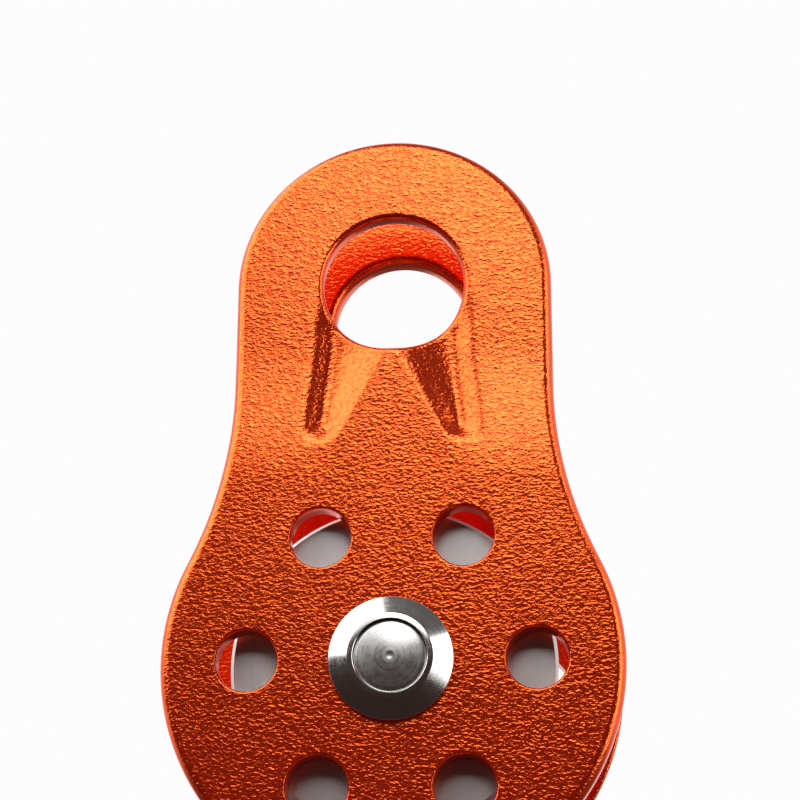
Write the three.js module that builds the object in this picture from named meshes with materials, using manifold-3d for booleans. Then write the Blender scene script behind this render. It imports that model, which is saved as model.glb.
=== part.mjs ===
// A single-sheave rope pulley: two pressed side plates that swing on a riveted
// axle, and between them a grooved wheel on two deep-groove ball bearings.
// Units are millimetres. +Z points from the axle to the carabiner eye, the axle
// lies along Y, the front plate is on the -Y side. The origin is the centre of
// the carabiner eye, midway between the plates.
import * as THREE from 'three';
import { mergeVertices } from 'three/addons/utils/BufferGeometryUtils.js';
import Module from 'manifold-3d';

// ---- driving dimensions ----
const EYE_TO_AXLE = 60.8;        // carabiner eye centre down to the axle
const CLEARANCE = 0.3;           // gap left between pieces that touch

const DISC_RADIUS = 35;          // round lower end of a side plate
const HEAD_RADIUS = 25;          // round upper end, and half the neck's width
const FLANK_RADIUS = 64;         // hollow curve from the disc into the neck
const PLATE_THICKNESS = 4;
const PLATE_GAP = 17;            // between the plates at the wheel
const EDGE_ROUND = 1.2;          // rounding of the outline
const EYE_RADIUS = 11.2;
const EYE_OUTER_ROUND = 0.9;     // rounding of the eye on the outer and the inner face
const EYE_INNER_ROUND = 1.6;

const WINDOW_COUNT = 6;          // round lightening holes around the axle
const WINDOW_RADIUS = 4.6;
const WINDOW_CIRCLE = 21.8;

// pressing of the neck, measured towards the inside of the pulley
const BEND_LOW = 28;             // heights above the axle
const BEND_HIGH = 50;
const EYE_INSET = 1;             // how far the eye zone is set in
const GROOVE_START = 33.6;       // the two grooves begin here and are full here
const GROOVE_FULL = 37.5;
const GROOVE_FADE = 52;          // they start to run out here
const GROOVE_END = 62;           // and are gone here, beside the eye
const GROOVE_DEPTH = 1.2;        // below the eye zone
const GROOVE_X_LOW = 10.7;       // groove lines, at their start and at the eye
const GROOVE_X_HIGH = 8.8;
const GROOVE_FLOOR = 0.5;
const GROOVE_OUTER_FLANK = 3.6;
const RIB_FOOT_HALF = 7.5;       // half the width of the rib between them, at its foot
const CREST_HALF_LOW = 9.2;      // half the rib's flat crest
const CREST_HALF_HIGH = 0.3;
const PRESSED_HALF = 14.8;       // half the width that the rib and grooves take
const FINE_EDGE = 4.4;           // longest mesh edge in the rib and grooves
const COARSE_EDGE = 8;           // and in the bend beside them

const SHEAVE_RADIUS = 25;
const SHEAVE_WIDTH = 14.5;
const ROPE_GROOVE_RADIUS = 6.2;  // takes a 12 mm rope
const GROOVE_ROOT_RADIUS = 17.5;
const RIM_CHAMFER = 0.6;
const SEAT_RIB_RADIUS = 9.6;     // rib inside the hub that parts the bearings

const AXLE_RADIUS = 5;
const AXLE_HEAD_RADIUS = 5.25;   // the spread, riveted ends
const HEAD_DOME = 0.35;

const CONE_RADIUS = 9.35;        // conical washers under the riveted ends
const CONE_FLAT_RADIUS = 6.45;
const CONE_EDGE = 0.45;
const CONE_HEIGHT = 2.3;
const CONE_BORE = 5.6;

const BEARING_WIDTH = 6;         // 10 x 22 x 6 deep-groove bearing
const BEARING_OUTER = 11;
const BALL_RADIUS = 1.5875;
const PITCH_RADIUS = 8;
const BALL_COUNT = 9;
const RACE_RADIUS = 1.85;
const INNER_SHOULDER = 7.1;
const OUTER_SHOULDER = 8.9;
const CAGE_HALF_WIDTH = 2.2;
const CAGE_POCKET = 1.9;
const SHIELD_THICKNESS = 0.3;
const SHIELD_RECESS = 0.1;
const SPACER_RADIUS = 7;

// ---- places worked out from them ----
const PLATE_INNER = PLATE_GAP / 2;
const PLATE_OUTER = PLATE_INNER + PLATE_THICKNESS;
const SHAFT_BORE = AXLE_RADIUS + CLEARANCE;
const RIB_HALF = 0.65;           // half the width of the rib between the bearings
const BEARING_CENTRE = RIB_HALF + CLEARANCE + BEARING_WIDTH / 2;
const CONE_BASE = PLATE_OUTER + CLEARANCE;
const CONE_TOP = CONE_BASE + CONE_HEIGHT;

// ---- materials ----
function metal(color, roughness, metalness = 1) {
  return new THREE.MeshStandardMaterial({ color, roughness, metalness });
}
const LOOKS = {
  plate: metal(0xd9561e, 0.38, 0.85),
  sheave: metal(0x9a9896, 0.55),
  axle: metal(0xb9b7b2, 0.25),
  cone: metal(0xc9c7c2, 0.2),
  washer: metal(0x8f8e8b, 0.4),
  ring: metal(0xaeb0b3, 0.18),
  ball: metal(0xd8dadc, 0.06),
  cage: metal(0xa8a59c, 0.45),
  shield: metal(0x8d9094, 0.35),
};

// ---- cutting and joining ----
const wasm = await Module();
wasm.setup();

function toSolid(geometry) {
  const bare = geometry.clone();
  bare.deleteAttribute('normal');
  bare.deleteAttribute('uv');
  const merged = mergeVertices(bare, 1e-4);
  return new wasm.Manifold(new wasm.Mesh({
    numProp: 3,
    vertProperties: new Float32Array(merged.attributes.position.array),
    triVerts: new Uint32Array(merged.index.array),
  }));
}

function toGeometry(solid) {
  const mesh = solid.getMesh();
  const geometry = new THREE.BufferGeometry();
  geometry.setAttribute('position', new THREE.BufferAttribute(mesh.vertProperties, 3));
  geometry.setIndex(new THREE.BufferAttribute(mesh.triVerts, 1));
  geometry.computeVertexNormals();
  return geometry;
}

function cut(geometry, tools) {
  return toGeometry(tools.reduce((body, tool) => body.subtract(toSolid(tool)), toSolid(geometry)));
}

// ---- shape helpers ----
function smoothstep(low, high, value) {
  const t = THREE.MathUtils.clamp((value - low) / (high - low), 0, 1);
  return t * t * (3 - 2 * t);
}

// Points of an arc, both ends included, about one every stepDegrees.
function arcPoints(x, y, radius, fromDegrees, toDegrees, stepDegrees) {
  const count = Math.max(1, Math.round(Math.abs(toDegrees - fromDegrees) / stepDegrees));
  return Array.from({ length: count + 1 }, (_, i) => {
    const angle = THREE.MathUtils.degToRad(THREE.MathUtils.lerp(fromDegrees, toDegrees, i / count));
    return new THREE.Vector2(x + radius * Math.cos(angle), y + radius * Math.sin(angle));
  });
}

// A body turned about the axle: the profile is a closed loop of [radius, y].
function turned(profile, segments) {
  const points = profile.map(([radius, y]) => new THREE.Vector2(radius, y));
  points.push(points[0].clone());
  return new THREE.LatheGeometry(points, segments);
}

function ringProfile(inner, outer, low, high) {
  return [[outer, low], [outer, high], [inner, high], [inner, low]];
}

// A cylinder across the plates, used to cut round holes.
function crossDrill(radius, x, z, segments) {
  const drill = new THREE.CylinderGeometry(radius, radius, 2 * PLATE_OUTER + 20, segments);
  return drill.translate(x, 0, z);
}

// The cutter for the carabiner eye: a spool that leaves both rims rounded.
function eyeCutter() {
  const [low, high] = [-PLATE_OUTER, -PLATE_INNER];
  const outerRim = EYE_RADIUS + EYE_OUTER_ROUND;
  const innerRim = EYE_RADIUS + EYE_INNER_ROUND;
  const profile = [
    new THREE.Vector2(0, low - PLATE_THICKNESS),
    new THREE.Vector2(outerRim, low - PLATE_THICKNESS),
    ...arcPoints(outerRim, low + EYE_OUTER_ROUND, EYE_OUTER_ROUND, 270, 180, 45),
    ...arcPoints(innerRim, high - EYE_INNER_ROUND, EYE_INNER_ROUND, 180, 90, 45),
    new THREE.Vector2(innerRim, high + PLATE_THICKNESS),
    new THREE.Vector2(0, high + PLATE_THICKNESS),
  ];
  return new THREE.LatheGeometry(profile, 32).translate(0, 0, EYE_TO_AXLE);
}

// ---- side plates ----
function plateOutline() {
  const flankHeight = Math.sqrt((DISC_RADIUS + FLANK_RADIUS) ** 2 - (HEAD_RADIUS + FLANK_RADIUS) ** 2);
  const flankX = HEAD_RADIUS + FLANK_RADIUS;
  const tangent = THREE.MathUtils.radToDeg(Math.atan2(flankHeight, flankX));
  const right = arcPoints(flankX, flankHeight, FLANK_RADIUS, 180 + tangent, 180, 6);
  const head = arcPoints(0, EYE_TO_AXLE, HEAD_RADIUS, 0, 180, 11.25);
  const left = right.map((p) => new THREE.Vector2(-p.x, p.y)).reverse();
  const disc = arcPoints(0, 0, DISC_RADIUS, 180 - tangent, 360 + tangent, 9).slice(1, -1);
  return new THREE.Shape([...right, ...head, ...left, ...disc]);
}

// How far the pressing moves the plate inwards, at x and at a height above the axle.
function pressing(x, height) {
  const { clamp, lerp } = THREE.MathUtils;
  const eyeBottom = EYE_TO_AXLE - EYE_RADIUS;
  const side = Math.abs(x);
  const climb = clamp((height - GROOVE_START) / (eyeBottom - GROOVE_START), 0, 1);
  const onset = smoothstep(GROOVE_START, GROOVE_FULL, height);
  const fade = 1 - smoothstep(GROOVE_FADE, GROOVE_END, height);
  const grooveX = lerp(GROOVE_X_LOW, GROOVE_X_HIGH, climb);
  const crest = lerp(CREST_HALF_LOW, CREST_HALF_HIGH, climb);
  const eyePlane = EYE_INSET * smoothstep(BEND_LOW, BEND_HIGH, height);
  const groove = eyePlane + GROOVE_DEPTH;
  const slide = clamp((side - crest) / (grooveX - crest), 0, 1);
  const rib = groove * (slide + smoothstep(0, 1, slide)) / 2;
  const flankX = grooveX + GROOVE_FLOOR;
  const outerFlank = lerp(groove, eyePlane, smoothstep(flankX, flankX + GROOVE_OUTER_FLANK, side));
  const pressed = side < grooveX ? rib : outerFlank;
  const unpressed = eyePlane * smoothstep(RIB_FOOT_HALF, PRESSED_HALF, side);
  return lerp(eyePlane, lerp(unpressed, pressed, onset), fade);
}

// The longest edge allowed between p and q, heights measured from the axle.
function edgeLimit(p, q) {
  const overlaps = (low, high, a, b) => Math.max(a, b) > low && Math.min(a, b) < high;
  if (!overlaps(BEND_LOW, GROOVE_END, p.z, q.z)) return Infinity;
  if (overlaps(-PRESSED_HALF, PRESSED_HALF, p.x, q.x)) return FINE_EDGE;
  return overlaps(BEND_LOW, BEND_HIGH, p.z, q.z) ? COARSE_EDGE : Infinity;
}

// Splits triangles until no edge is longer than its limit. Whether an edge is
// split depends on that edge alone, so neighbours stay joined.
function refine(geometry) {
  const source = geometry.index ? geometry.toNonIndexed() : geometry;
  const position = source.attributes.position;
  const corner = (i) => new THREE.Vector3().fromBufferAttribute(position, i);
  const pending = [];
  for (let i = 0; i < position.count; i += 3) pending.push([corner(i), corner(i + 1), corner(i + 2)]);
  const finished = [];
  while (pending.length > 0) {
    const triangle = pending.pop();
    const excess = triangle.map((p, i) => {
      const q = triangle[(i + 1) % 3];
      return p.distanceTo(q) / edgeLimit(p, q);
    });
    const longest = excess.indexOf(Math.max(...excess));
    if (excess[longest] <= 1) {
      finished.push(...triangle);
      continue;
    }
    const [a, b, c] = [0, 1, 2].map((i) => triangle[(longest + i) % 3]);
    const middle = a.clone().add(b).multiplyScalar(0.5);
    pending.push([a, middle, c], [middle, b, c]);
  }
  return new THREE.BufferGeometry().setFromPoints(finished);
}

function sidePlateGeometry() {
  const blank = new THREE.ExtrudeGeometry(plateOutline(), {
    depth: PLATE_THICKNESS - 2 * EDGE_ROUND,
    bevelEnabled: true,
    bevelThickness: EDGE_ROUND,
    bevelSize: EDGE_ROUND,
    bevelOffset: -EDGE_ROUND,
    bevelSegments: 2,
  });
  blank.translate(0, 0, PLATE_INNER + EDGE_ROUND).rotateX(Math.PI / 2);
  const tools = [crossDrill(SHAFT_BORE, 0, 0, 20), eyeCutter()];
  for (let i = 0; i < WINDOW_COUNT; i += 1) {
    const angle = (i * 2 * Math.PI) / WINDOW_COUNT;
    const x = WINDOW_CIRCLE * Math.cos(angle);
    const z = WINDOW_CIRCLE * Math.sin(angle);
    tools.push(crossDrill(WINDOW_RADIUS, x, z, 14));
  }
  const drilled = cut(blank, tools);
  const fine = mergeVertices(refine(drilled), 1e-4);
  const position = fine.attributes.position;
  for (let i = 0; i < position.count; i += 1) {
    position.setY(i, position.getY(i) + pressing(position.getX(i), position.getZ(i)));
  }
  fine.computeVertexNormals();
  return fine;
}

// ---- wheel ----
function sheaveGeometry() {
  const half = SHEAVE_WIDTH / 2;
  const grooveCentre = GROOVE_ROOT_RADIUS + ROPE_GROOVE_RADIUS;
  const groove = arcPoints(grooveCentre, 0, ROPE_GROOVE_RADIUS, 270, 90, 30).map((p) => [p.x, p.y]);
  const bore = BEARING_OUTER + CLEARANCE;
  return turned([
    [bore, -half],
    [SHEAVE_RADIUS - RIM_CHAMFER, -half],
    [SHEAVE_RADIUS, -half + RIM_CHAMFER],
    ...groove,
    [SHEAVE_RADIUS, half - RIM_CHAMFER],
    [SHEAVE_RADIUS - RIM_CHAMFER, half],
    [bore, half],
    [bore, RIB_HALF],
    [SEAT_RIB_RADIUS, RIB_HALF],
    [SEAT_RIB_RADIUS, -RIB_HALF],
    [bore, -RIB_HALF],
  ], 48);
}

// ---- axle and washers ----
function axleGeometry() {
  const half = [
    [AXLE_RADIUS, CONE_BASE],
    [AXLE_HEAD_RADIUS, CONE_BASE + CLEARANCE],
    [AXLE_HEAD_RADIUS, CONE_TOP - HEAD_DOME],
    [AXLE_HEAD_RADIUS * 0.8, CONE_TOP - HEAD_DOME / 3],
    [0, CONE_TOP],
  ];
  const rear = half.map(([radius, y]) => new THREE.Vector2(radius, y));
  const front = half.map(([radius, y]) => new THREE.Vector2(radius, -y)).reverse();
  return new THREE.LatheGeometry([...front, ...rear], 28);
}

function coneWasherGeometry() {
  return turned([
    [CONE_BORE, CONE_BASE],
    [CONE_RADIUS, CONE_BASE],
    [CONE_RADIUS, CONE_BASE + CONE_EDGE],
    [CONE_FLAT_RADIUS, CONE_TOP],
    [CONE_BORE, CONE_TOP],
  ], 32);
}

function thrustWasherGeometry() {
  const low = BEARING_CENTRE + BEARING_WIDTH / 2 + CLEARANCE;
  return turned(ringProfile(SHAFT_BORE, SPACER_RADIUS, low, PLATE_INNER - CLEARANCE), 24);
}

// ---- ball bearing, centred on the origin, axis along Y ----
function raceArc(fromDegrees, toDegrees) {
  return arcPoints(PITCH_RADIUS, 0, RACE_RADIUS, fromDegrees, toDegrees, 40).map((p) => [p.x, p.y]);
}

function innerRingGeometry() {
  const half = BEARING_WIDTH / 2;
  const open = THREE.MathUtils.radToDeg(Math.acos((PITCH_RADIUS - INNER_SHOULDER) / RACE_RADIUS));
  return turned([
    [SHAFT_BORE, -half],
    [INNER_SHOULDER, -half],
    ...raceArc(180 + open, 180 - open),
    [INNER_SHOULDER, half],
    [SHAFT_BORE, half],
  ], 28);
}

function outerRingGeometry() {
  const half = BEARING_WIDTH / 2;
  const open = THREE.MathUtils.radToDeg(Math.acos((OUTER_SHOULDER - PITCH_RADIUS) / RACE_RADIUS));
  return turned([
    [OUTER_SHOULDER, -half],
    [BEARING_OUTER, -half],
    [BEARING_OUTER, half],
    [OUTER_SHOULDER, half],
    ...raceArc(open, -open),
  ], 32);
}

function ballAngle(index) {
  return (index * 2 * Math.PI) / BALL_COUNT;
}

function ballPlace(index) {
  const angle = ballAngle(index);
  return new THREE.Vector3(PITCH_RADIUS * Math.cos(angle), 0, PITCH_RADIUS * Math.sin(angle));
}

function cageGeometry() {
  const inner = INNER_SHOULDER + CLEARANCE;
  const outer = OUTER_SHOULDER - CLEARANCE;
  const band = turned(ringProfile(inner, outer, -CAGE_HALF_WIDTH, CAGE_HALF_WIDTH), 2 * BALL_COUNT);
  const pockets = Array.from({ length: BALL_COUNT }, (_, i) => {
    const pocket = new THREE.CylinderGeometry(CAGE_POCKET, CAGE_POCKET, 2 * (outer - inner), 10);
    pocket.rotateZ(Math.PI / 2).translate(PITCH_RADIUS, 0, 0);
    return pocket.rotateY(-ballAngle(i));
  });
  return cut(band, pockets);
}

function shieldGeometry() {
  const inner = INNER_SHOULDER + CLEARANCE;
  const outer = OUTER_SHOULDER - CLEARANCE;
  const high = BEARING_WIDTH / 2 - SHIELD_RECESS;
  return turned(ringProfile(inner, outer, high - SHIELD_THICKNESS, high), 24);
}

// ---- assembly ----
const group = new THREE.Group();
const axleGroup = new THREE.Group();
axleGroup.position.z = -EYE_TO_AXLE;
group.add(axleGroup);

function addPiece(parent, name, geometry, material) {
  const mesh = new THREE.Mesh(geometry, material);
  mesh.name = name;
  parent.add(mesh);
  return mesh;
}

function addBearing(side, centreY) {
  const bearing = new THREE.Group();
  bearing.position.y = centreY;
  axleGroup.add(bearing);
  addPiece(bearing, `${side}_bearing_inner_ring`, innerRingGeometry(), LOOKS.ring);
  addPiece(bearing, `${side}_bearing_outer_ring`, outerRingGeometry(), LOOKS.ring);
  addPiece(bearing, `${side}_bearing_cage`, cageGeometry(), LOOKS.cage);
  addPiece(bearing, `${side}_bearing_rear_shield`, shieldGeometry(), LOOKS.shield);
  const frontShield = addPiece(bearing, `${side}_bearing_front_shield`, shieldGeometry(), LOOKS.shield);
  frontShield.rotation.z = Math.PI;
  for (let i = 0; i < BALL_COUNT; i += 1) {
    const ball = new THREE.SphereGeometry(BALL_RADIUS, 8, 6);
    addPiece(bearing, `${side}_bearing_ball_${i + 1}`, ball, LOOKS.ball).position.copy(ballPlace(i));
  }
}

addPiece(axleGroup, 'sheave', sheaveGeometry(), LOOKS.sheave);
addPiece(axleGroup, 'axle', axleGeometry(), LOOKS.axle);
addPiece(axleGroup, 'centre_spacer',
  turned(ringProfile(SHAFT_BORE, SPACER_RADIUS, -RIB_HALF, RIB_HALF), 24), LOOKS.washer);

// The pieces of the rear side are those of the front, turned half round.
const SIDES = [
  { side: 'front', turn: 0, facing: Math.PI },
  { side: 'rear', turn: Math.PI, facing: 0 },
];
for (const { side, turn, facing } of SIDES) {
  addPiece(axleGroup, `${side}_side_plate`, sidePlateGeometry(), LOOKS.plate).rotation.z = turn;
  addPiece(axleGroup, `${side}_cone_washer`, coneWasherGeometry(), LOOKS.cone).rotation.z = facing;
  addPiece(axleGroup, `${side}_thrust_washer`, thrustWasherGeometry(), LOOKS.washer).rotation.z = facing;
}
addBearing('front', -BEARING_CENTRE);
addBearing('rear', BEARING_CENTRE);

export default group;
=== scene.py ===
# %% [markdown]
# # A rope pulley
#
# The pulley hangs from a carabiner through the round eyes of two side plates. Between the plates a
# grooved wheel turns on two ball bearings, and the plates swing on the riveted axle so that a rope
# can be laid in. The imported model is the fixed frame: it says where each piece sits and how big it
# is. Here every piece is made again with a fine surface and a real finish, in metres, in the same
# place.

# %% Load the frame
import math

import bpy
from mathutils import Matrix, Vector


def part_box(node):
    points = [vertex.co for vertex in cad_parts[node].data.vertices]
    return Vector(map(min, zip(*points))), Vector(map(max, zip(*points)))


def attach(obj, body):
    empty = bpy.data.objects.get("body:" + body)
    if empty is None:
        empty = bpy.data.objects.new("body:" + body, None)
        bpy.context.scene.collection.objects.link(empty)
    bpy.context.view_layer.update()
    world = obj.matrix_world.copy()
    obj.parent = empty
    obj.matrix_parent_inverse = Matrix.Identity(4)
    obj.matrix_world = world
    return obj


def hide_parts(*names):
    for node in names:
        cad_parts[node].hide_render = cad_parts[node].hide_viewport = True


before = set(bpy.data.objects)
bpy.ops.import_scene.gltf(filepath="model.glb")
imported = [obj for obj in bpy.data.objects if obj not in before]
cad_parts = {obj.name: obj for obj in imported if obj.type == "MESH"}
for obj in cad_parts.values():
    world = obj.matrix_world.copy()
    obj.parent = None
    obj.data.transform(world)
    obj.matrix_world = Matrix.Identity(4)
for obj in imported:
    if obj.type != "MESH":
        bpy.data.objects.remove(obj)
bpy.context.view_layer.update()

# %% [markdown]
# ## Places taken from the frame
#
# The axle's height, the plates' faces and the wheel's width are read from the frame's boxes, so a
# change to the design moves the looks with it. Sizes that belong to one piece are kept with it.

# %% Driving places
MM = 0.001


def node_box(name):
    """Lowest and highest corner of a CAD node in millimetres."""
    low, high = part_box(name)
    return low / MM, high / MM


axle_low, axle_high = node_box("axle")
AXLE_Z = (axle_low.z + axle_high.z) / 2
plate_low, plate_high = node_box("front_side_plate")
DISC_RADIUS = AXLE_Z - plate_low.z
PLATE_OUTER = -plate_low.y
PLATE_TOP = plate_high.z
wheel_low, wheel_high = node_box("sheave")
WHEEL_RADIUS = (wheel_high.z - wheel_low.z) / 2
WHEEL_HALF = (wheel_high.y - wheel_low.y) / 2
print(f"axle at z {AXLE_Z:.2f} mm, plate face at {PLATE_OUTER:.2f} mm")
print(f"wheel {2 * WHEEL_RADIUS:.1f} mm across and {2 * WHEEL_HALF:.1f} mm wide")

# %% [markdown]
# ## Camera
#
# A long lens close to the plate's level looks up at it from a little below and to the right, so
# the wall of the eye and the rear plate show through the hole. The lens and the place give the
# framing, so no shift is needed. It comes first because the light is judged through it.

# %% Camera
CAMERA_PLACE = Vector((25.1, -322.5, -126.5))
CAMERA_TARGET = Vector((1.22, -12.5, -20.1))
CAMERA_ROLL = 0.2
CAMERA_LENS = 95.3


def place_camera():
    data = bpy.data.cameras.new("studio_camera")
    camera = bpy.data.objects.new("studio_camera", data)
    bpy.context.scene.collection.objects.link(camera)
    data.lens = CAMERA_LENS
    data.sensor_width = 36.0
    data.clip_start = 0.01
    look = (CAMERA_TARGET - CAMERA_PLACE).to_track_quat("-Z", "Y").to_euler()
    camera.location = CAMERA_PLACE * MM
    camera.rotation_euler = look
    camera.rotation_euler.rotate_axis("Z", math.radians(CAMERA_ROLL))
    bpy.context.scene.camera = camera
    return camera


camera = place_camera()
print("camera at", [round(value, 4) for value in camera.location])

# %% [markdown]
# ## Selection and edit-mode helpers
#
# An operator works on all that is selected, so each step first clears the selection and then
# selects by place. `select_edges_where` sets the flags in object mode, which is the simplest way
# to select by a rule; the operator then runs in edit mode.

# %% Helpers for edit mode


def clear_selection():
    if bpy.context.object and bpy.context.object.mode != "OBJECT":
        bpy.ops.object.mode_set(mode="OBJECT")
    bpy.ops.object.select_all(action="DESELECT")


def make_active(piece):
    """Selects one piece alone, so that the next operator works on it and nothing else."""
    clear_selection()
    piece.select_set(True)
    bpy.context.view_layer.objects.active = piece


def edit_mode(kind="VERT"):
    bpy.ops.object.mode_set(mode="EDIT")
    bpy.ops.mesh.select_mode(type=kind)


def object_mode():
    bpy.ops.object.mode_set(mode="OBJECT")


def select_edges_where(piece, rule):
    """Selects the edges whose two ends both pass the rule, and returns how many."""
    edit_mode("EDGE")
    bpy.ops.mesh.select_all(action="DESELECT")
    object_mode()
    passed = [rule(vertex.co) for vertex in piece.data.vertices]
    for edge in piece.data.edges:
        edge.select = passed[edge.vertices[0]] and passed[edge.vertices[1]]
    edit_mode("EDGE")
    return sum(edge.select for edge in piece.data.edges)


def smooth(piece, degrees=35.0):
    """Smooth shading with hard corners kept, and the large flats left truly flat."""
    make_active(piece)
    bpy.ops.object.shade_smooth_by_angle(angle=math.radians(degrees))
    weighted = piece.modifiers.new("flat_faces_lead", "WEIGHTED_NORMAL")
    weighted.keep_sharp = True
    bpy.ops.object.modifier_apply(modifier=weighted.name)


# %% [markdown]
# ## Turning on the lathe
#
# Everything round about the axle is turned: a profile of radius and place along the axle is laid
# out as a ring of vertices and spun a full turn. Starting from a circle primitive gives the closed
# ring of edges at once. A solid shaft has an open profile that begins and ends on the axis, so its
# closing edge is deleted first. `round_corners` breaks every sharp corner with a small radius,
# because an edge with no radius catches no light.

# %% Lathe
TURN_STEPS = 120


def round_corners(profile, radius, steps=3, closed=True):
    """Replaces each corner of the profile by a short curve, never longer than 40% of a side."""
    rounded = []
    count = len(profile)
    for index, corner in enumerate(profile):
        if not closed and index in (0, count - 1):
            rounded.append(corner)
            continue
        here = Vector(corner)
        before = Vector(profile[index - 1]) - here
        after = Vector(profile[(index + 1) % count]) - here
        turn = math.pi - before.angle(after)
        if turn < math.radians(12):
            rounded.append(corner)
            continue
        reach = min(radius * math.tan(turn / 2), 0.4 * before.length, 0.4 * after.length)
        start = here + before.normalized() * reach
        end = here + after.normalized() * reach
        for step in range(steps + 1):
            t = step / steps
            point = start * (1 - t) ** 2 + here * 2 * t * (1 - t) + end * t ** 2
            rounded.append((point.x, point.y))
    return rounded


def turned_piece(name, profile, closed=True, steps=TURN_STEPS, sharp=35.0):
    """Spins a profile of (radius, along) in millimetres about the axle."""
    clear_selection()
    bpy.ops.mesh.primitive_circle_add(vertices=len(profile), radius=MM, fill_type="NOTHING")
    piece = bpy.context.object
    piece.name = name
    piece.data.name = name
    for vertex, (radius, along) in zip(piece.data.vertices, profile):
        vertex.co = Vector((radius, along, AXLE_Z)) * MM
    if not closed:
        ends = {0, len(profile) - 1}
        edit_mode("EDGE")
        bpy.ops.mesh.select_all(action="DESELECT")
        object_mode()
        for edge in piece.data.edges:
            edge.select = set(edge.vertices) == ends
        edit_mode("EDGE")
        bpy.ops.mesh.delete(type="EDGE")
        object_mode()
    edit_mode()
    bpy.ops.mesh.select_all(action="SELECT")
    bpy.ops.mesh.spin(steps=steps, angle=math.tau, center=(0, 0, AXLE_Z * MM), axis=(0, 1, 0))
    bpy.ops.mesh.select_all(action="SELECT")
    bpy.ops.mesh.remove_doubles(threshold=1e-6)
    bpy.ops.mesh.normals_make_consistent(inside=False)
    object_mode()
    smooth(piece, sharp)
    return piece


def mirrored(profile):
    """The same profile on the front side of the pulley."""
    return [(radius, -along) for radius, along in reversed(profile)]


def arc(x, y, radius, start, end, step):
    """Points of an arc in degrees, both ends included."""
    count = max(1, round(abs(end - start) / step))
    angles = [math.radians(start + (end - start) * index / count) for index in range(count + 1)]
    return [(x + radius * math.cos(angle), y + radius * math.sin(angle)) for angle in angles]


# %% [markdown]
# ## A small language for finishes
#
# A finish is a node tree. `Value` wraps one number socket so that shader maths reads as Python, and
# `NodeTree.node` adds any other node from its type, its settings and its inputs. `Finish` is the
# tree of a material; the world uses a plain `NodeTree`. Only what changes over the surface is
# linked; a constant stays on the shader's own socket.

# %% Value, NodeTree and Finish


class Value:
    """One number in a node tree that takes part in Python expressions."""

    def __init__(self, tree, socket):
        self.tree = tree
        self.socket = socket

    def maths(self, operation, first, second):
        inputs = {0: first, 1: second}
        return self.tree.node("ShaderNodeMath", {"operation": operation}, inputs)["Value"]

    def __add__(self, other):
        return self.maths("ADD", self, other)

    def __sub__(self, other):
        return self.maths("SUBTRACT", self, other)

    def __rsub__(self, other):
        return self.maths("SUBTRACT", other, self)

    def __mul__(self, other):
        return self.maths("MULTIPLY", self, other)

    def __pow__(self, other):
        return self.maths("POWER", self, other)

    __radd__ = __add__
    __rmul__ = __mul__


class Outputs:
    """Looks up a node's outputs by name and hands numbers back as Value."""

    def __init__(self, tree, node):
        self.tree = tree
        self.node = node

    def __getitem__(self, name):
        socket = self.node.outputs[name]
        return Value(self.tree, socket) if socket.type == "VALUE" else socket


class NodeTree:
    """Adds nodes to a tree, with their settings and inputs in one call."""

    def __init__(self, tree):
        self.tree = tree

    def connect(self, socket, value):
        if isinstance(value, Value):
            value = value.socket
        if isinstance(value, bpy.types.NodeSocket):
            self.tree.links.new(value, socket)
        else:
            socket.default_value = value

    def node(self, kind, settings=None, inputs=None):
        node = self.tree.nodes.new(kind)
        for key, value in (settings or {}).items():
            if key == "stops":
                for element, (place, colour) in zip(self.ramp_stops(node, len(value)), value):
                    element.position = place
                    element.color = (*colour, 1.0)
            else:
                setattr(node, key, value)
        for key, value in (inputs or {}).items():
            self.connect(node.inputs[key], value)
        return Outputs(self, node)

    def ramp_stops(self, node, count):
        elements = node.color_ramp.elements
        while len(elements) < count:
            elements.new(0.5)
        return elements

    def coordinates(self):
        """The place on the object, in metres."""
        return self.node("ShaderNodeTexCoord")["Object"]

    def split(self, vector):
        return self.node("ShaderNodeSeparateXYZ", None, {0: vector})

    def stretched(self, vector, scale):
        settings = {"operation": "MULTIPLY"}
        return self.node("ShaderNodeVectorMath", settings, {0: vector, 1: scale})["Vector"]

    def noise(self, vector, scale, detail, roughness=0.5, distortion=0.0):
        inputs = {
            "Vector": vector,
            "Scale": scale,
            "Detail": detail,
            "Roughness": roughness,
            "Distortion": distortion,
        }
        return self.node("ShaderNodeTexNoise", {"noise_dimensions": "3D"}, inputs)["Fac"]

    def ramp(self, factor, stops):
        return self.node("ShaderNodeValToRGB", {"stops": stops}, {0: factor})["Color"]

    def remap(self, value, low, high, new_low, new_high):
        settings = {"interpolation_type": "SMOOTHSTEP"}
        inputs = {0: value, 1: low, 2: high, 3: new_low, 4: new_high}
        return self.node("ShaderNodeMapRange", settings, inputs)["Result"]

    def mix(self, factor, first, second):
        """Mixes two colours; the Mix node keeps its colour sockets at 6, 7 and output 2."""
        inputs = {0: factor, 6: first, 7: second}
        return self.node("ShaderNodeMix", {"data_type": "RGBA"}, inputs).node.outputs[2]

    def bump(self, height, distance, strength=1.0):
        inputs = {"Strength": strength, "Distance": distance, "Height": height}
        return self.node("ShaderNodeBump", None, inputs)["Normal"]


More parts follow.
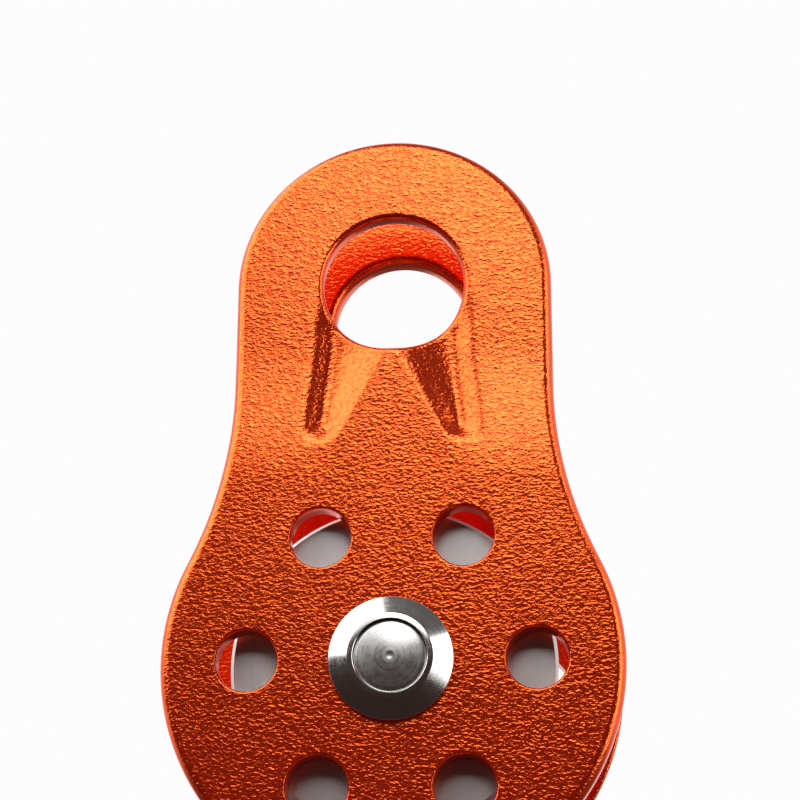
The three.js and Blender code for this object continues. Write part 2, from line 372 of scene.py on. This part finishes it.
class Finish(NodeTree):
    """A material whose principled shader is filled in by name."""

    def __init__(self, name):
        self.material = bpy.data.materials.new(name)
        self.material.use_nodes = True
        super().__init__(self.material.node_tree)
        self.shader = self.tree.nodes["Principled BSDF"]

    def surface(self, **inputs):
        for key, value in inputs.items():
            self.connect(self.shader.inputs[key.replace("_", " ")], value)
        return self.material

    def blend_in(self, share, second):
        """Puts a second shader under the first, with the given share of the whole."""
        inputs = {0: share, 1: self.shader.outputs["BSDF"], 2: second}
        blend = self.node("ShaderNodeMixShader", None, inputs)["Shader"]
        self.connect(self.tree.nodes["Material Output"].inputs["Surface"], blend)
        return self.material


# %% [markdown]
# ## Finish: orange anodised plate
#
# The plates are aluminium with a fine leathery grain, dyed orange and sealed. Dyed anodising is a
# coloured metal, so the main shader is metallic with the orange in its base colour. That base colour
# also holds painted shade and painted highlight: by the grain's height it turns darker red in the
# hollows and paler orange on the crests. Light that has gone deep into the dyed layer comes back red
# whatever the angle, so a dull red shader is blended under the metal. The sheared walls have no
# grain.
# Whether a point is on a grained face is stored in the mesh as the attribute `grain`, because the
# pressing tilts the faces and a plain height test would miss them. The bump is shallow: the plate
# mirrors broad shapes, and the grain only ruffles their edges.

# %% Anodised finish


PEBBLE_SCALE = 2300.0
FINE_SCALE = 5200.0
CLOUD_SCALE = 60.0
GRAIN_STRETCH = (0.62, 1.0, 1.0)
GRAIN_DEPTH = 0.00011
# The hollow and crest stops colour the grain by its height: painted shade in the hollows, painted
# highlight on the crests.
HOLLOW_PAINTED_SHADE_DYE = (0.84, 0.085, 0.014)
MIDDLE_DYE = (0.93, 0.135, 0.022)
CREST_PAINTED_HIGHLIGHT_DYE = (0.97, 0.170, 0.030)
WALL_DYE = (0.84, 0.110, 0.030, 1.0)
DEEP_DYE = (0.86, 0.016, 0.007, 1.0)
DEEP_SHARE = 0.21


def anodised_finish():
    finish = Finish("orange_anodised_grain")
    coordinates = finish.coordinates()
    grained = finish.node("ShaderNodeAttribute", {"attribute_name": "grain"})["Fac"]
    wide = finish.stretched(coordinates, GRAIN_STRETCH)
    pebble = finish.noise(wide, PEBBLE_SCALE, 1.2, 0.5, 0.5)
    fine = finish.noise(wide, FINE_SCALE, 1.0)
    cloud = finish.noise(coordinates, CLOUD_SCALE, 2.0)
    height = pebble * 0.92 + fine * 0.08
    shade = height + (cloud - 0.5) * 0.10
    # Painted shade in the grain's hollows and painted highlight on its crests, taken from the
    # grain's height.
    dye_with_painted_grain_light = finish.ramp(shade, [(0.30, HOLLOW_PAINTED_SHADE_DYE), (0.44, MIDDLE_DYE), (0.60, CREST_PAINTED_HIGHLIGHT_DYE)])
    colour = finish.mix(grained, WALL_DYE, dye_with_painted_grain_light)
    roughness = finish.remap(height, 0.35, 0.65, 0.20, 0.16)
    normal = finish.bump(height * grained, GRAIN_DEPTH)
    finish.surface(
        Base_Color=colour, Metallic=1.0, Roughness=roughness, Normal=normal,
        Coat_Weight=0.15, Coat_Roughness=0.20, Coat_IOR=1.6)
    inputs = {"Base Color": DEEP_DYE, "Roughness": 0.6, "Specular IOR Level": 0.0}
    deep = finish.node("ShaderNodeBsdfPrincipled", None, inputs)["BSDF"]
    return finish.blend_in(DEEP_SHARE, deep)


ANODISED = anodised_finish()
print("finish:", ANODISED.name)

# %% [markdown]
# ## Finish: turned metals
#
# Every other piece is turned, ground or polished metal. A turned face carries rings about the axle,
# left by the tool, so the height of the bump is a wave of the distance from the axle. The same
# maker serves all of them with its own colour, gloss and ring pitch.

# %% Turned metal finishes


WANDER_SCALE = 900.0
SMUDGE_SCALE = 140.0
RING_STRENGTH = 0.6


def turned_metal(name, colour, roughness, ring_pitch, ring_depth, tarnish=0.06, spread=0.05):
    """A turned finish; the rings' pitch and depth are in millimetres."""
    finish = Finish(name)
    coordinates = finish.coordinates()
    parts = finish.split(coordinates)
    along = parts["Y"]
    height = parts["Z"] - AXLE_Z * MM
    distance = (parts["X"] * parts["X"] + height * height) ** 0.5
    section = finish.node("ShaderNodeCombineXYZ", None, {0: distance, 1: along * 0.35, 2: 0.0})
    rings = finish.noise(section["Vector"], 1.0 / (ring_pitch * MM), 2.0, 0.6)
    wander = finish.noise(coordinates, WANDER_SCALE, 2.0)
    smudge = finish.noise(coordinates, SMUDGE_SCALE, 3.0)
    dark = tuple(channel * (1 - 2.2 * tarnish) for channel in colour)
    tone = finish.ramp(smudge * 0.7 + rings * 0.3, [(0.35, dark), (0.62, colour)])
    low, high = roughness - spread, roughness + spread
    gloss = finish.remap(rings * 0.6 + wander * 0.4, 0.3, 0.7, low, high)
    normal = finish.bump(rings * 0.85 + wander * 0.15, ring_depth * MM, RING_STRENGTH)
    return finish.surface(Base_Color=tone, Metallic=1.0, Roughness=gloss, Normal=normal)


WHEEL_ALLOY = turned_metal("wheel_alloy", (0.66, 0.645, 0.635), 0.40, 0.30, 0.003, 0.05, 0.04)
CONE_STEEL = turned_metal("bright_turned_steel", (0.78, 0.77, 0.745), 0.17, 0.12, 0.006, 0.04, 0.04)
AXLE_STEEL = turned_metal("axle_end_steel", (0.72, 0.71, 0.685), 0.28, 0.20, 0.010, 0.07, 0.05)
GROUND_STEEL = turned_metal("ground_steel", (0.58, 0.58, 0.575), 0.30, 0.10, 0.006)
RACE_STEEL = turned_metal("bearing_race_steel", (0.66, 0.665, 0.675), 0.16, 0.08, 0.003)
BALL_STEEL = turned_metal("polished_ball_steel", (0.80, 0.805, 0.81), 0.06, 0.35, 0.0008, 0.03, 0.02)
CAGE_STEEL = turned_metal("pressed_cage_steel", (0.62, 0.60, 0.55), 0.36, 0.15, 0.008)
SHIELD_STEEL = turned_metal("pressed_shield_steel", (0.53, 0.54, 0.555), 0.32, 0.14, 0.007)
print("turned metals made")

# %% [markdown]
# ## Side plates: outline
#
# A plate is a disc about the axle, a round head about the eye, and a hollow curve on each side
# that runs from the disc into the straight neck. The hollow arcs touch the disc, so the height of
# their centres follows from the three radii.

# %% Outline of a side plate
HEAD_RADIUS = 25.0
FLANK_RADIUS = 64.0
PLATE_THICKNESS = 4.0
PLATE_INNER = PLATE_OUTER - PLATE_THICKNESS
EYE_HEIGHT = PLATE_TOP - HEAD_RADIUS - AXLE_Z


def plate_outline(step=1.6):
    flank_x = HEAD_RADIUS + FLANK_RADIUS
    flank_height = math.sqrt((DISC_RADIUS + FLANK_RADIUS) ** 2 - flank_x ** 2)
    tangent = math.degrees(math.atan2(flank_height, flank_x))
    right = arc(flank_x, flank_height, FLANK_RADIUS, 180 + tangent, 180, step)
    head = arc(0, EYE_HEIGHT, HEAD_RADIUS, 0, 180, 2 * step)
    left = [(-x, height) for x, height in reversed(right)]
    disc = arc(0, 0, DISC_RADIUS, 180 - tangent, 360 + tangent, 1.5 * step)[1:-1]
    return right + head + left + disc


outline = plate_outline()
print(f"outline of {len(outline)} points, eye {EYE_HEIGHT:.2f} mm above the axle")

# %% [markdown]
# ## Side plates: blank
#
# The blank is cut from sheet: a filled circle primitive whose vertices are moved onto the outline,
# extruded to the sheet's thickness. The outer rim gets a wide rounding and the inner one a small
# one, by bevelling the two loops of edges before the holes are drilled.

# %% Blank with rounded edges
OUTER_ROUND = 1.7
INNER_ROUND = 0.45


def near(value, wanted, tolerance=0.01):
    return abs(value - wanted) < tolerance


def bevel_loop(piece, rule, width, segments):
    count = select_edges_where(piece, rule)
    bpy.ops.mesh.bevel(offset=width * MM, segments=segments, affect="EDGES", profile=0.5)
    object_mode()
    return count


def cut_blank(name):
    clear_selection()
    bpy.ops.mesh.primitive_circle_add(vertices=len(outline), radius=MM, fill_type="NGON")
    blank = bpy.context.object
    blank.name = name
    blank.data.name = name
    for vertex, (x, height) in zip(blank.data.vertices, outline):
        vertex.co = Vector((x, -PLATE_INNER, AXLE_Z + height)) * MM
    edit_mode()
    bpy.ops.mesh.select_all(action="SELECT")
    step = {"value": (0, -PLATE_THICKNESS * MM, 0)}
    bpy.ops.mesh.extrude_region_move(TRANSFORM_OT_translate=step)
    bpy.ops.mesh.select_all(action="SELECT")
    bpy.ops.mesh.normals_make_consistent(inside=False)
    object_mode()
    outer = bevel_loop(blank, lambda co: near(co.y / MM, -PLATE_OUTER), OUTER_ROUND, 6)
    inner = bevel_loop(blank, lambda co: near(co.y / MM, -PLATE_INNER), INNER_ROUND, 3)
    print(f"{name}: {outer} outer and {inner} inner edges rounded")
    return blank


# %% [markdown]
# ## Side plates: holes
#
# The eye, the axle's hole and six lightening holes are drilled with boolean cuts, one drill at a
# time, and each rim is then found by its distance from the hole's centre and broken with a small
# bevel. Boolean cuts give true round walls, which an inset could not on such a large face.

# %% Drilling
EYE_RADIUS = 11.2
EYE_OUTER_ROUND, EYE_INNER_ROUND = 0.9, 1.6
SHAFT_BORE = 5.3
WINDOW_RADIUS = 4.65
WINDOW_CIRCLE = 21.8
WINDOW_COUNT = 6


def hole_list():
    """(x, height above the axle, radius, outer and inner rounding, sides) of each hole."""
    holes = [(0.0, EYE_HEIGHT, EYE_RADIUS, EYE_OUTER_ROUND, EYE_INNER_ROUND, 144)]
    holes.append((0.0, 0.0, SHAFT_BORE, 0.2, 0.2, 72))
    for index in range(WINDOW_COUNT):
        angle = index * math.tau / WINDOW_COUNT
        x = WINDOW_CIRCLE * math.cos(angle)
        height = WINDOW_CIRCLE * math.sin(angle)
        holes.append((x, height, WINDOW_RADIUS, 0.4, 0.4, 72))
    return holes


def drill(piece, x, height, radius, outer_round, inner_round, sides):
    clear_selection()
    bpy.ops.mesh.primitive_cylinder_add(
        vertices=sides, radius=radius * MM, depth=4 * PLATE_OUTER * MM,
        location=(x * MM, 0, (AXLE_Z + height) * MM), rotation=(math.pi / 2, 0, 0))
    bit = bpy.context.object
    make_active(piece)
    hole = piece.modifiers.new("hole", "BOOLEAN")
    hole.operation = "DIFFERENCE"
    hole.solver = "EXACT"
    hole.object = bit
    bpy.ops.object.modifier_apply(modifier=hole.name)
    bpy.data.objects.remove(bit)
    centre = Vector((x, AXLE_Z + height))

    def on_rim(co, face):
        place = Vector((co.x / MM, co.z / MM))
        return near(co.y / MM, face) and near((place - centre).length, radius, 0.05)

    for face, rounding in ((-PLATE_OUTER, outer_round), (-PLATE_INNER, inner_round)):
        bevel_loop(piece, lambda co: on_rim(co, face), rounding, 6 if rounding > 0.5 else 3)


# %% [markdown]
# ## Side plates: pressing
#
# The neck is pressed: the eye zone is set in towards the other plate, and a rib is left standing
# below the eye between two grooves. A flat sheet has no vertices there to move, so it is first
# bisected along close lines, two of which follow the grooves. Each vertex is then moved by the
# depth of the pressing at its place. Both faces move alike, so the sheet keeps its thickness.

# %% Pressing
BEND_LOW, BEND_HIGH = 28.0, 50.0
EYE_INSET = 1.0
GROOVE_START, GROOVE_FULL = 33.6, 37.5
GROOVE_DEPTH = 1.2
GROOVE_X_LOW, GROOVE_X_HIGH = 10.7, 8.8
CREST_LOW, CREST_HIGH = 9.2, 0.3
FLOOR_WIDTH = 0.5
OUTER_FLANK = 3.6
GROOVE_FADE, GROOVE_END = 52.0, 62.0
RIB_FOOT, PRESSED_HALF = 7.5, 14.8
EYE_BOTTOM = EYE_HEIGHT - EYE_RADIUS
SLICE_PITCH = 0.48


def between(low, high, value):
    return min(max((value - low) / (high - low), 0.0), 1.0)


def ease(low, high, value):
    t = between(low, high, value)
    return t * t * (3 - 2 * t)


def blended(first, second, share):
    return first + (second - first) * share


def pressing(x, height):
    """Depth in millimetres by which the sheet is set in at a place."""
    side = abs(x)
    climb = between(GROOVE_START, EYE_BOTTOM, height)
    onset = ease(GROOVE_START, GROOVE_FULL, height)
    fade = 1 - ease(GROOVE_FADE, GROOVE_END, height)
    groove_x = blended(GROOVE_X_LOW, GROOVE_X_HIGH, climb)
    crest = blended(CREST_LOW, CREST_HIGH, climb)
    eye_plane = EYE_INSET * ease(BEND_LOW, BEND_HIGH, height)
    groove = eye_plane + GROOVE_DEPTH
    if side < groove_x:
        slide = between(crest, groove_x, side)
        pressed = groove * blended(slide, ease(0, 1, slide), 0.5)
    else:
        flank_x = groove_x + FLOOR_WIDTH
        pressed = blended(groove, eye_plane, ease(flank_x, flank_x + OUTER_FLANK, side))
    unpressed = eye_plane * ease(RIB_FOOT, PRESSED_HALF, side)
    return blended(eye_plane, blended(unpressed, pressed, onset), fade)


def slice_piece(place, normal):
    bpy.ops.mesh.select_all(action="SELECT")
    bpy.ops.mesh.bisect(plane_co=place * MM, plane_no=normal)


def press_neck(piece):
    make_active(piece)
    edit_mode()
    rows = int((GROOVE_END - BEND_LOW) / SLICE_PITCH) + 2
    for row in range(rows):
        slice_piece(Vector((0, 0, AXLE_Z + BEND_LOW + row * SLICE_PITCH)), (0, 0, 1))
    columns = int(PRESSED_HALF / SLICE_PITCH) + 1
    for column in range(-columns, columns + 1):
        slice_piece(Vector((column * SLICE_PITCH, 0, 0)), (1, 0, 0))
    run = Vector((GROOVE_X_HIGH - GROOVE_X_LOW, 0, EYE_BOTTOM - GROOVE_START))
    for sign in (-1, 1):
        across = Vector((run.z, 0, -sign * run.x)).normalized()
        slice_piece(Vector((sign * GROOVE_X_LOW, 0, AXLE_Z + GROOVE_START)), across)
    object_mode()
    for vertex in piece.data.vertices:
        x = vertex.co.x / MM
        height = vertex.co.z / MM - AXLE_Z
        vertex.co.y += pressing(x, height) * MM
    print(f"{piece.name}: pressed, {len(piece.data.polygons)} faces")


# %% [markdown]
# ## Side plates: grain mask and finish
#
# The attribute `grain` is 1 where a face looks along the axle and 0 on the sheared walls. It is
# written from the normals before the pressing tilts them. The rear plate is the same pressing
# turned half round about Z, which puts its outer face at the back.

# %% Both plates


def mark_grain(piece):
    grain = piece.data.attributes.new("grain", "FLOAT", "POINT")
    for vertex, value in zip(piece.data.vertices, grain.data):
        value.value = ease(0.5, 0.95, abs(vertex.normal.y))


def make_front_plate():
    plate = cut_blank("front_plate_pressing")
    for hole in hole_list():
        drill(plate, *hole)
    mark_grain(plate)
    press_neck(plate)
    smooth(plate, 40.0)
    plate.data.materials.clear()
    plate.data.materials.append(ANODISED)
    return plate


def copy_piece(piece, name):
    copy = piece.copy()
    copy.data = piece.data.copy()
    copy.name = name
    copy.data.name = name
    bpy.context.scene.collection.objects.link(copy)
    return copy


def turn_half_round(piece):
    """Turns a piece half round about the vertical through the axle's middle."""
    make_active(piece)
    piece.rotation_euler = (0, 0, math.pi)
    bpy.ops.object.transform_apply(location=True, rotation=True, scale=True)


front_plate = make_front_plate()
rear_plate = copy_piece(front_plate, "rear_plate_pressing")
turn_half_round(rear_plate)
for plate, body, node in ((front_plate, "front_plate", "front_side_plate"),
                          (rear_plate, "rear_frame", "rear_side_plate")):
    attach(plate, body)
    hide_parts(node)

# %% [markdown]
# ## Wheel
#
# The wheel is turned from bar: a round-bottomed groove for the rope, thin flat lips, side faces
# with a shallow relief between hub and rim, and a bore with a rib inside that parts the two
# bearings.

# %% Wheel
ROPE_GROOVE = 6.2
GROOVE_ROOT = 17.5
LIP_CHAMFER = 0.6
BEARING_SEAT = 11.3
SEAT_RIB = 9.6
RIB_HALF = 0.65
RELIEF_DEPTH = 0.35
RELIEF_INNER, RELIEF_OUTER = 13.2, 16.4


def side_face():
    """The rear side face of the wheel, from the rim in to the bore."""
    face = WHEEL_HALF
    return [
        (WHEEL_RADIUS, face - LIP_CHAMFER),
        (WHEEL_RADIUS - LIP_CHAMFER, face),
        (RELIEF_OUTER, face),
        (RELIEF_OUTER - RELIEF_DEPTH, face - RELIEF_DEPTH),
        (RELIEF_INNER + RELIEF_DEPTH, face - RELIEF_DEPTH),
        (RELIEF_INNER, face),
        (BEARING_SEAT, face),
    ]


def make_wheel():
    rear = side_face() + [(BEARING_SEAT, RIB_HALF), (SEAT_RIB, RIB_HALF)]
    front = mirrored(rear)
    groove = arc(GROOVE_ROOT + ROPE_GROOVE, 0, ROPE_GROOVE, 270, 90, 6)
    profile = round_corners(front + groove + rear, 0.12, 2)
    wheel = turned_piece("rope_wheel", profile, steps=160)
    wheel.data.materials.append(WHEEL_ALLOY)
    return wheel


wheel = make_wheel()
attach(wheel, "wheel")
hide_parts("sheave")
print("wheel faces:", len(wheel.data.polygons))

# %% [markdown]
# ## Axle and conical washers
#
# The axle's ends are spread by riveting and then faced on the lathe, which leaves a slight dome
# and the small pit of the centre drill. Each conical washer stands round the end with a thin
# groove between them.

# %% Axle and washers
AXLE_RADIUS = 5.0
AXLE_HEAD = 5.42
HEAD_DROP = 0.6
HEAD_TOP = axle_high.y
HEAD_LOW = PLATE_OUTER + 0.3
CONE_BORE, CONE_FLAT = 5.56, 6.45
CONE_EDGE = 0.45
CONE_FLAT_DROP = 0.18
cone_low, cone_high = node_box("rear_cone_washer")
CONE_RADIUS = (cone_high.x - cone_low.x) / 2


DOME_SHARES = (1.0, 0.9, 0.78, 0.65, 0.5, 0.36, 0.24, 0.15)
PIT = ((0.5, 0.01), (0.35, 0.04), (0.2, 0.055), (0.0, 0.06))


def axle_end():
    """Profile of the rear end, from the shank out to the axis."""
    dome = [(AXLE_HEAD * share, HEAD_TOP - HEAD_DROP * share ** 2) for share in DOME_SHARES]
    pit = [(radius, HEAD_TOP - depth) for radius, depth in PIT]
    neck = [(AXLE_RADIUS, HEAD_LOW), (AXLE_HEAD, HEAD_LOW + 0.3)]
    return neck + dome + pit


def make_axle():
    rear = axle_end()
    profile = round_corners(mirrored(rear) + rear, 0.12, 2, closed=False)
    axle = turned_piece("riveted_axle", profile, closed=False)
    axle.data.materials.append(AXLE_STEEL)
    return axle


def cone_profile():
    return [
        (CONE_BORE, cone_low.y),
        (CONE_RADIUS, cone_low.y),
        (CONE_RADIUS, cone_low.y + CONE_EDGE),
        (CONE_FLAT, cone_high.y - CONE_FLAT_DROP),
        (CONE_BORE, cone_high.y),
    ]


axle = make_axle()
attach(axle, "rear_frame")
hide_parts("axle")
for side, profile in (("rear", cone_profile()), ("front", mirrored(cone_profile()))):
    washer = turned_piece(f"{side}_conical_washer", round_corners(profile, 0.14, 3))
    washer.data.materials.append(CONE_STEEL)
    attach(washer, "rear_frame")
    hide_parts(f"{side}_cone_washer")
print(f"axle head to {HEAD_TOP:.2f} mm, washers {2 * CONE_RADIUS:.1f} mm across")

# %% [markdown]
# ## Thrust washers and spacer
#
# Flat ground rings keep the bearings' inner rings off the plates and off each other. Each takes
# its place along the axle from its CAD node.

# %% Flat rings


SHIELD_BORE = 7.4


def flat_ring(name, node, material, body, break_edge=0.12):
    low, high = node_box(node)
    outer = (high.x - low.x) / 2
    bore = SHIELD_BORE if "shield" in node else SHAFT_BORE
    profile = [(bore, low.y), (outer, low.y), (outer, high.y), (bore, high.y)]
    ring = turned_piece(name, round_corners(profile, break_edge, 2), steps=96)
    ring.data.materials.append(material)
    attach(ring, body)
    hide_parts(node)
    return ring


flat_ring("front_thrust_ring", "front_thrust_washer", GROUND_STEEL, "rear_frame")
flat_ring("rear_thrust_ring", "rear_thrust_washer", GROUND_STEEL, "rear_frame")
flat_ring("bearing_spacer", "centre_spacer", GROUND_STEEL, "rear_frame")

# %% [markdown]
# ## Ball bearings
#
# Two shielded bearings sit in the wheel: a grooved inner ring on the axle, a grooved outer ring
# in the wheel, nine balls in a pressed cage, and a thin shield on each side. The rings are turned
# from their section. The cage is a turned band with a radial hole drilled where each ball sits, so
# the balls keep their spacing and never touch.

# %% Bearings
BALL_RADIUS = 1.5875
PITCH_RADIUS = 8.0
RACE_RADIUS = 1.85
INNER_SHOULDER, OUTER_SHOULDER = 7.1, 8.9
BALL_COUNT = 9
CAGE_POCKET = 1.9


def race_arc(shoulder, centre, middle):
    """The ball's track in a ring; middle is the direction in degrees of its deepest point."""
    half = math.degrees(math.acos(abs(shoulder - PITCH_RADIUS) / RACE_RADIUS))
    return arc(PITCH_RADIUS, centre, RACE_RADIUS, middle + half, middle - half, 8)


def bearing_ring(name, node, inside):
    low, high = node_box(node)
    centre = (low.y + high.y) / 2
    if inside:
        profile = [(SHAFT_BORE, low.y), (INNER_SHOULDER, low.y)]
        profile += race_arc(INNER_SHOULDER, centre, 180)
        profile += [(INNER_SHOULDER, high.y), (SHAFT_BORE, high.y)]
    else:
        outer = (high.x - low.x) / 2
        profile = [(OUTER_SHOULDER, low.y), (outer, low.y)]
        profile += [(outer, high.y), (OUTER_SHOULDER, high.y)]
        profile += race_arc(OUTER_SHOULDER, centre, 0)
    ring = turned_piece(name, round_corners(profile, 0.15, 2), steps=96)
    ring.data.materials.append(RACE_STEEL)
    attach(ring, "rear_frame" if inside else "wheel")
    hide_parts(node)
    return ring


def make_ball(name, node, body):
    low, high = node_box(node)
    centre = (low + high) / 2
    clear_selection()
    bpy.ops.mesh.primitive_ico_sphere_add(subdivisions=4, radius=BALL_RADIUS * MM)
    ball = bpy.context.object
    ball.name = name
    ball.data.name = name
    edit_mode()
    bpy.ops.mesh.select_all(action="SELECT")
    bpy.ops.transform.translate(value=centre * MM)
    object_mode()
    bpy.ops.object.shade_smooth()
    ball.data.materials.append(BALL_STEEL)
    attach(ball, body)
    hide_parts(node)
    return ball


def make_cage(side, body):
    node = f"{side}_bearing_cage"
    low, high = node_box(node)
    inner = INNER_SHOULDER + 0.3
    outer = OUTER_SHOULDER - 0.3
    profile = [(inner, low.y), (outer, low.y), (outer, high.y), (inner, high.y)]
    cage = turned_piece(f"{side}_ball_cage", round_corners(profile, 0.12, 2), steps=108)
    for index in range(BALL_COUNT):
        angle = index * math.tau / BALL_COUNT
        clear_selection()
        across = PITCH_RADIUS * math.cos(angle)
        height = AXLE_Z + PITCH_RADIUS * math.sin(angle)
        place = Vector((across, (low.y + high.y) / 2, height))
        bpy.ops.mesh.primitive_cylinder_add(
            vertices=40, radius=CAGE_POCKET * MM, depth=3 * (outer - inner) * MM,
            location=place * MM, rotation=(0, math.pi / 2 - angle, 0))
        pocket = bpy.context.object
        make_active(cage)
        hole = cage.modifiers.new("pocket", "BOOLEAN")
        hole.solver = "EXACT"
        hole.object = pocket
        bpy.ops.object.modifier_apply(modifier=hole.name)
        bpy.data.objects.remove(pocket)
    smooth(cage, 35.0)
    cage.data.materials.clear()
    cage.data.materials.append(CAGE_STEEL)
    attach(cage, body)
    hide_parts(node)
    return cage


for side in ("front", "rear"):
    body = f"{side}_ball_set"
    bearing_ring(f"{side}_inner_race", f"{side}_bearing_inner_ring", True)
    bearing_ring(f"{side}_outer_race", f"{side}_bearing_outer_ring", False)
    for face in ("front", "rear"):
        node = f"{side}_bearing_{face}_shield"
        flat_ring(f"{node}_plate", node, SHIELD_STEEL, "wheel", 0.08)
    make_cage(side, body)
    for index in range(1, BALL_COUNT + 1):
        make_ball(f"{side}_ball_{index}", f"{side}_bearing_ball_{index}", body)
print("bearings made")

# %% [markdown]
# ## Studio
#
# A bright softbox stands high in front, so the upper half of the plate mirrors it and the lower
# half mirrors the darker room below it; that is what makes the grain stand out there. A dimmer
# fill box beside it keeps the left side of the eye a little darker. A large softbox on the left
# and a window on the right put the two bright sectors on the conical washers. The floor lies well
# below the hanging pulley.

# %% Lights and floor


CENTRE = Vector((0.0, 0.0, AXLE_Z * MM / 2))


def softbox(name, place, width, height, brightness):
    """A rectangular light aimed at the pulley; brightness is what a mirror would show of it."""
    data = bpy.data.lights.new(name, "AREA")
    data.shape = "RECTANGLE"
    data.size = width
    data.size_y = height
    data.energy = brightness * math.pi * width * height
    light = bpy.data.objects.new(name, data)
    light.location = place
    light.rotation_euler = (CENTRE - Vector(place)).to_track_quat("-Z", "Y").to_euler()
    bpy.context.scene.collection.objects.link(light)
    return light


softbox("front_softbox", (0.055, -0.736, 0.568), 0.386, 0.60, 3.7)
softbox("front_fill", (-0.237, -0.699, 0.568), 0.37, 0.60, 1.1)
softbox("left_softbox", (-0.606, -0.283, 0.572), 1.04, 1.04, 3.0)
softbox("right_window", (0.862, -0.350, 0.086), 0.52, 0.85, 3.0)


def make_floor():
    clear_selection()
    bpy.ops.mesh.primitive_plane_add(size=6.0, location=(0, 0, -0.34))
    floor = bpy.context.object
    floor.name = "pale_floor"
    finish = Finish("pale_floor_paint")
    speckle = finish.noise(finish.coordinates(), 30.0, 3.0)
    tone = finish.ramp(speckle, [(0.3, (0.86, 0.86, 0.86)), (0.7, (0.90, 0.90, 0.90))])
    paint = finish.surface(
        Base_Color=tone, Roughness=0.6, Emission_Color=tone, Emission_Strength=0.5)
    floor.data.materials.append(paint)
    floor.visible_glossy = False
    floor.visible_diffuse = False
    return floor


floor = make_floor()


LOW_FRONT = (0.035, 0.020, 0.018, 1.0)
HIGH_FRONT = (0.11, 0.102, 0.100, 1.0)
BACKDROP = (1.0, 0.99, 0.99, 1.0)
SEEN_WHITE = (0.985, 0.98, 0.98, 1.0)


def set_world():
    """White behind and beside the pulley, dark and a little warm in front of it."""
    world = bpy.data.worlds.new("studio_air")
    bpy.context.scene.world = world
    world.use_nodes = True
    world.node_tree.nodes.clear()
    air = NodeTree(world.node_tree)
    parts = air.split(air.node("ShaderNodeTexCoord")["Generated"])
    height = parts["Z"]
    level = air.remap(height, 0.60, 0.97, 1.0, 0.1) * air.remap(height, -0.34, -0.08, 0.12, 1.0)
    behind = air.remap(parts["Y"], -0.32, 0.06, 0.0, 1.0) * level
    front = air.mix(air.remap(height, 0.30, 0.70, 0.0, 1.0), LOW_FRONT, HIGH_FRONT)
    room = air.mix(behind, front, BACKDROP)
    lit = air.node("ShaderNodeBackground", None, {"Color": room, "Strength": 1.0})["Background"]
    white = air.node("ShaderNodeBackground", None, {"Color": SEEN_WHITE})["Background"]
    seen = air.node("ShaderNodeLightPath")["Is Camera Ray"]
    mixed = air.node("ShaderNodeMixShader", None, {0: seen, 1: lit, 2: white})["Shader"]
    air.node("ShaderNodeOutputWorld", None, {"Surface": mixed})


set_world()
bpy.context.scene.view_settings.view_transform = "Standard"
print("studio set")
